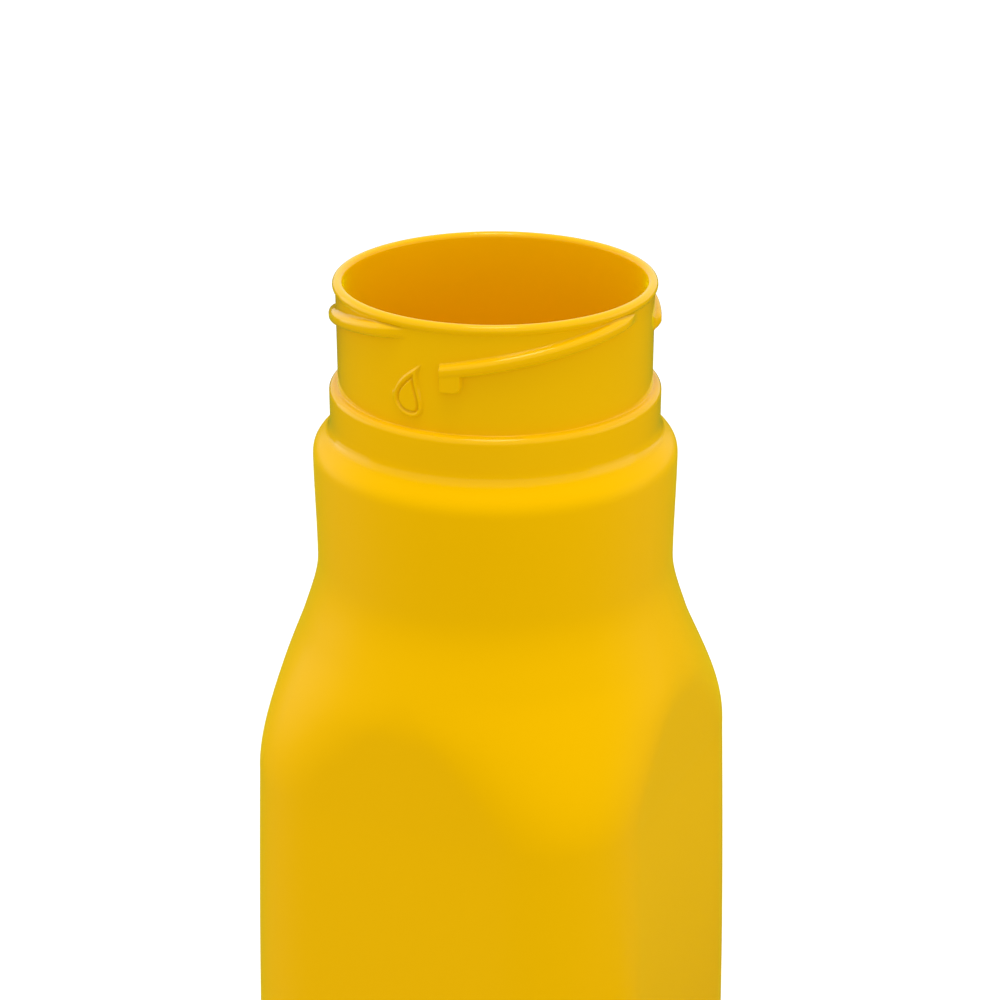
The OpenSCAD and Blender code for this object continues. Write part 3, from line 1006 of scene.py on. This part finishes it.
class BOTTLE_OT_nozzle(bpy.types.Operator):
    """Make the sliding nozzle and its soft mouthpiece"""

    bl_idname = "bottle.nozzle"
    bl_label = "Nozzle"

    def execute(self, context):
        deck = levels()[2]
        centre = axis()
        low, top = deck + NOZZLE_GAP, deck + NOZZLE_H
        bore = TOWER_R + 0.25
        way = PLUG_R + 0.6
        roof = deck + TOWER_H + 0.6
        nozzle = lathe([
            (bore, low, 0.3), (11.9, low, 0.5), (11.9, low + 1.6, 0.6), (NOZZLE_R, low + 1.6, 0.4),
            (NOZZLE_R, top - 3, 0.4), (12.2, top - 3, 0.6), (12.2, top - 1, 0.7), (NOZZLE_R, top - 1, 0.2),
            (NOZZLE_R, top, 0.3), (9.4, top), (9.4, top - 0.9), (8.2, top - 0.9), (8.2, top),
            (way, top, 0.2), (way, roof, 0.2), (bore, roof, 0.5),
        ], 96, centre)
        even_normals(place_piece("nozzle", *nozzle, "white_plastic", "nozzle", "nozzle_body"))
        hole = PLUG_R + 0.06
        tip = lathe([
            (hole, top), (8.25, top), (8.25, top - 0.85), (9.35, top - 0.85), (9.35, top),
            (9.8, top, 0.1), (9.8, top + TIP_H, 2.6), (hole, top + TIP_H, 0.6),
        ], 96, centre)
        even_normals(place_piece("mouthpiece", *tip, "grey_rubber", "nozzle", "mouth_tip"))
        return {"FINISHED"}


class BOTTLE_OT_cover(bpy.types.Operator):
    """Make the clear cover and its hinge pin"""

    bl_idname = "bottle.cover"
    bl_label = "Cover"

    def execute(self, context):
        deck = levels()[2]
        centre = axis()
        low, top, out, t = deck + 0.2, deck + COVER_H, COVER_R, COVER_T
        dome = solid_lathe([
            (0, top - t), (out - t, top - t, 2.8), (out - t, low, 0.2), (out + 0.8, low, 0.3),
            (out + 0.8, low + 1.6, 0.4), (out, low + 1.6, 0.3), (out, top, 4), (0, top),
        ], 128, centre)
        x = centre[0]
        hinge = (x + HINGE_OUT, deck + HINGE_UP)
        half = ARM_W / 2
        arm = block((x + out - 0.5, -half, deck + 0.5), (x + HINGE_OUT - 1.6, half, deck + 3.1), 0.3, 0.3)
        barrel = knuckle(hinge, -half, half, EAR_R - 0.1, PIN_R + 0.06)
        tab = block((x - out - 3.4, -4, low), (x - out + 0.6, 4, low + 1.6), 1.5, 0.4)
        cover = joined(dome, arm, barrel, tab)
        even_normals(place_piece("cover", *cover, "clear_plastic", "cover", "dust_cap"))
        outline = ((-1, PIN_R - 0.2), (-0.98, PIN_R), (0.98, PIN_R), (1, PIN_R - 0.2))
        pin = skin([cross_ring(round_turn(32), r, y * PIN_L / 2, hinge) for y, r in outline])
        even_normals(place_piece("hinge_pin", *pin, "pin_steel", "lid", "hinge_pin"))
        return {"FINISHED"}


# ---------------------------------------------------------------- stage


class BOTTLE_OT_stage(bpy.types.Operator):
    """Make the floor, the light and the camera"""

    bl_idname = "bottle.stage"
    bl_label = "Stage"

    def execute(self, context):
        make_floor()
        make_light()
        make_camera()
        return {"FINISHED"}


def make_floor():
    """A plain pale floor. It is dark to reflections, and a little brighter in view than it lights."""
    reach = 6.0
    mesh = bpy.data.meshes.new("floor")
    corners = [(-reach, -reach, 0), (reach, -reach, 0), (reach, reach, 0), (-reach, reach, 0)]
    mesh.from_pydata(corners, [], [(0, 1, 2, 3)])
    floor = bpy.data.objects.new("floor", mesh)
    bpy.context.collection.objects.link(floor)
    material, nodes, links, shader = new_material("plain_floor")
    path = nodes.new("ShaderNodeLightPath")
    tone = nodes.new("ShaderNodeMix")
    tone.data_type = "RGBA"
    tone.inputs["A"].default_value = (*settings("stage").floor, 1.0)
    tone.inputs["B"].default_value = (0.03, 0.03, 0.03, 1.0)
    links.new(path.outputs["Is Glossy Ray"], tone.inputs["Factor"])
    links.new(tone.outputs["Result"], shader.inputs["Base Color"])
    glow = nodes.new("ShaderNodeMath")
    glow.operation = "MULTIPLY"
    glow.inputs[1].default_value = settings("stage").glow
    links.new(path.outputs["Is Camera Ray"], glow.inputs[0])
    links.new(glow.outputs["Value"], shader.inputs["Emission Strength"])
    set_values(shader, emission_color=(1.0, 1.0, 1.0, 1.0), roughness=0.9, specular_ior_level=0.0)
    mesh.materials.append(material)


def aim_along(thing, direction):
    """Turns a lamp or a camera to look in a direction."""
    thing.rotation_mode = "QUATERNION"
    thing.rotation_quaternion = direction.to_track_quat("-Z", "Y")


def add_lamp(name, kind, energy, location, **values):
    """Adds one lamp, with further values set on its data."""
    data = bpy.data.lights.new(name, kind)
    data.energy = energy
    for key, value in values.items():
        setattr(data, key, value)
    lamp = bpy.data.objects.new(name, data)
    lamp.location = location
    bpy.context.collection.objects.link(lamp)
    return lamp


def make_light():
    """An even sky, a soft light at each side and overhead, and a faint warm one inside the bottle."""
    stage = settings("stage")
    world = bpy.data.worlds.new("studio")
    bpy.context.scene.world = world
    world.use_nodes = True
    set_values(world.node_tree.nodes["Background"], color=(1.0, 1.0, 1.0, 1.0), strength=stage.sky)
    for name, degrees in (("right", 20), ("left", -175)):
        away = Vector((math.cos(math.radians(degrees)), math.sin(math.radians(degrees)), 0.0))
        side = add_lamp(name, "AREA", stage.sides, away * 0.8 + Vector((0, 0, 0.25)), size=0.6)
        aim_along(side, Vector((-away.x, -away.y, -0.15)))
    inside = (0.0, 0.0, BOTTLE_TOP - 0.06)
    glow = add_lamp(
        "inner_glow", "POINT", stage.inside, inside, shadow_soft_size=0.015, color=(1.0, 0.62, 0.05)
    )
    glow.visible_camera = False
    over = (0.04, -0.1, BOTTLE_TOP + 0.6)
    overhead = add_lamp("overhead", "AREA", stage.top, over, shape="DISK", size=0.26)
    aim_along(overhead, Vector((-0.04, 0.1, -0.6)))


def make_camera():
    """The camera stands above the rim and looks down past it."""
    stage = settings("stage")
    data = bpy.data.cameras.new("camera")
    data.lens = stage.lens
    data.sensor_width = 36.0
    data.clip_start = 0.01
    data.clip_end = 50.0
    camera = bpy.data.objects.new("camera", data)
    bpy.context.collection.objects.link(camera)
    away = Vector((math.cos(stage.direction), math.sin(stage.direction), 0.0))
    camera.location = away * stage.distance + Vector((0, 0, settings("sizes").height + stage.above))
    heading = stage.direction + math.pi - stage.yaw
    level = Vector((math.cos(heading), math.sin(heading), 0.0))
    aim = level * math.cos(stage.pitch) - Vector((0, 0, math.sin(stage.pitch)))
    aim_along(camera, aim)
    bpy.context.scene.camera = camera
    bpy.context.scene.view_settings.view_transform = "Standard"


# ---------------------------------------------------------------- add-on

GROUPS = {
    "sizes": BottleSizes,
    "thread": ThreadSizes,
    "lid": LidSizes,
    "finishes": Finishes,
    "stage": StageSettings,
}
OPERATORS = (
    BOTTLE_OT_shell, BOTTLE_OT_cap, BOTTLE_OT_band, BOTTLE_OT_spout, BOTTLE_OT_seals, BOTTLE_OT_nozzle,
    BOTTLE_OT_cover, BOTTLE_OT_stage,
)


class BOTTLE_PT_panel(bpy.types.Panel):
    """Lists the pieces of the bottle"""

    bl_idname = "BOTTLE_PT_panel"
    bl_label = "Bottle"
    bl_space_type = "VIEW_3D"
    bl_region_type = "UI"
    bl_category = "Bottle"

    def draw(self, context):
        for operator in OPERATORS:
            self.layout.operator(operator.bl_idname)


def register():
    for name, group in GROUPS.items():
        bpy.utils.register_class(group)
        setattr(bpy.types.Scene, "bottle_" + name, bpy.props.PointerProperty(type=group))
    for cls in (*OPERATORS, BOTTLE_PT_panel):
        bpy.utils.register_class(cls)


def unregister():
    for cls in reversed((*OPERATORS, BOTTLE_PT_panel)):
        bpy.utils.unregister_class(cls)
    for name, group in reversed(GROUPS.items()):
        delattr(bpy.types.Scene, "bottle_" + name)
        bpy.utils.unregister_class(group)


def main():
    register()
    bpy.ops.bottle.shell()
    bpy.ops.bottle.cap()
    bpy.ops.bottle.band()
    bpy.ops.bottle.spout()
    bpy.ops.bottle.seals()
    bpy.ops.bottle.nozzle()
    bpy.ops.bottle.cover()
    bpy.ops.bottle.stage()


if __name__ == "__main__":
    main()
